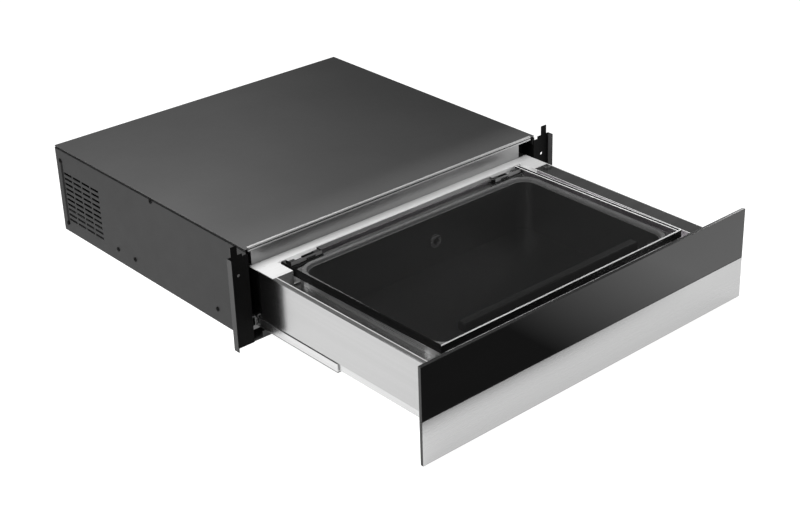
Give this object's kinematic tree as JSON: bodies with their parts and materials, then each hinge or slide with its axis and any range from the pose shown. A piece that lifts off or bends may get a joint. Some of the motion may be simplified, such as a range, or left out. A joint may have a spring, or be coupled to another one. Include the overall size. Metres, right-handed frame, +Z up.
{
  "type": "vacuum sealing drawer",
  "caption": "Built-in vacuum sealing drawer, pulled out: dark steel housing, flat glass and steel front, smoked glass lid over a steel chamber, vacuum pump behind.",
  "frame": {"origin": "centre of the housing's underside, on the surface that it stands on", "axes": "+Z up, +Y from the front panel to the rear, +X to the right as seen by someone who stands in front of the object and faces it"},
  "size_m": [0.595, 0.8685, 0.151],
  "materials": {
    "housing_paint": "satin",
    "bracket_paint": "satin",
    "trim_aluminium": "satin",
    "drawer_steel": "fine brushed",
    "front_steel": "fine brushed",
    "slide_steel": "zinc plated",
    "polished_steel": "polished",
    "black_glass": "gloss, opaque",
    "smoked_glass": "gloss, see-through",
    "strip_glass": "gloss, opaque",
    "black_plastic": "fine grain",
    "black_rubber": "matt",
    "clear_silicone": "satin, translucent",
    "cast_aluminium": "cast",
    "machined_aluminium": "machined",
    "nozzle_brass": "machined",
    "copper_winding": "varnished copper",
    "core_iron": "varnished",
    "board_green": "solder mask",
    "tape_tan": "woven release tape"
  },
  "bodies": {
    "housing": {"base_pan": "housing_paint", "side_wall_left": "housing_paint", "side_wall_right": "housing_paint", "rear_panel": "housing_paint", "top_cover": "housing_paint", "front_trim": "trim_aluminium", "mounting_bracket_left": "bracket_paint", "mounting_bracket_right": "bracket_paint", "outer_rail_left": "slide_steel", "outer_rail_right": "slide_steel", "housing_screws": "polished_steel", "cable_gland": "black_plastic", "push_latch": "black_plastic"},
    "plunger": {"latch_plunger": "black_plastic"},
    "left_mid_rail": {"mid_rail_left": "slide_steel"},
    "right_mid_rail": {"mid_rail_right": "slide_steel"},
    "lid": {"lid_glass": "smoked_glass", "lid_frame": "black_plastic", "hinge_leaf_left": "bracket_paint", "hinge_leaf_right": "bracket_paint", "counter_bar": "black_rubber", "lid_feet": "black_rubber"},
    "sealing_bar": {"seal_bar": "machined_aluminium", "heating_strip": "tape_tan"},
    "fan": {"fan_rotor": "black_plastic"},
    "pump_shaft": {"pump_rotor": "polished_steel", "motor_rotor": "copper_winding"},
    "button": {"power_button": "black_plastic"},
    "drawer": {"drawer_side_left": "drawer_steel", "drawer_side_right": "drawer_steel", "drawer_rear_wall": "drawer_steel", "front_plate": "bracket_paint", "drawer_floor": "drawer_steel", "rear_deck": "drawer_steel", "lid_recess": "drawer_steel", "compartment_cover": "drawer_steel", "chamber_tub": "drawer_steel", "chamber_gasket": "clear_silicone", "lift_cylinders": "machined_aluminium", "air_port": "machined_aluminium", "vacuum_hose": "clear_silicone", "valve_block": "nozzle_brass", "pump_cylinder": "cast_aluminium", "pump_end_cover": "cast_aluminium", "motor_shell": "core_iron", "pump_mounts": "black_rubber", "transformer_core": "core_iron", "transformer_coil": "copper_winding", "control_board": "board_green", "control_strip": "strip_glass", "fan_frame": "black_plastic", "inner_rail_left": "slide_steel", "inner_rail_right": "slide_steel", "front_glass": "black_glass", "front_steel": "front_steel", "hinge_post_left": "black_plastic", "hinge_post_right": "black_plastic", "hinge_pins": "polished_steel", "hinge_springs": "polished_steel", "latch_striker": "slide_steel"}
  },
  "joints": [
    {"name": "drawer_slide", "type": "slide", "parent": "housing", "child": "drawer", "axis": [0, -1, 0], "range_m": [-0.361, 0]},
    {"name": "mid_slide_left", "type": "slide", "parent": "housing", "child": "left_mid_rail", "axis": [0, -1, 0], "range_m": [-0.1805, 0]},
    {"name": "mid_slide_right", "type": "slide", "parent": "housing", "child": "right_mid_rail", "axis": [0, -1, 0], "range_m": [-0.1805, 0]},
    {"name": "latch_push", "type": "slide", "parent": "housing", "child": "plunger", "axis": [0, 1, 0], "range_m": [0, 0.006], "stiffness_N_per_m": 300, "springref_m": -0.002},
    {"name": "lid_hinge", "type": "hinge", "parent": "drawer", "child": "lid", "pos_m": [0, -0.2585, 0.1039], "axis": [-1, 0, 0], "range_deg": [-0.85, 75]},
    {"name": "seal_bar_lift", "type": "slide", "parent": "drawer", "child": "sealing_bar", "axis": [0, 0, 1], "range_m": [0, 0.004]},
    {"name": "fan_spin", "type": "hinge", "parent": "drawer", "child": "fan", "pos_m": [-0.244, -0.181, 0.0682], "axis": [1, 0, 0], "continuous": true},
    {"name": "pump_spin", "type": "hinge", "parent": "drawer", "child": "pump_shaft", "pos_m": [0.1, -0.181, 0.0752], "axis": [1, 0, 0], "continuous": true},
    {"name": "button_press", "type": "slide", "parent": "drawer", "child": "button", "axis": [0, 0, -1], "range_m": [0, 0.002], "stiffness_N_per_m": 800, "springref_m": -0.001}
  ],
  "couplings": [
    {"joint": "mid_slide_left", "follows": "drawer_slide", "ratio": 0.5},
    {"joint": "mid_slide_right", "follows": "drawer_slide", "ratio": 0.5}
  ]
}
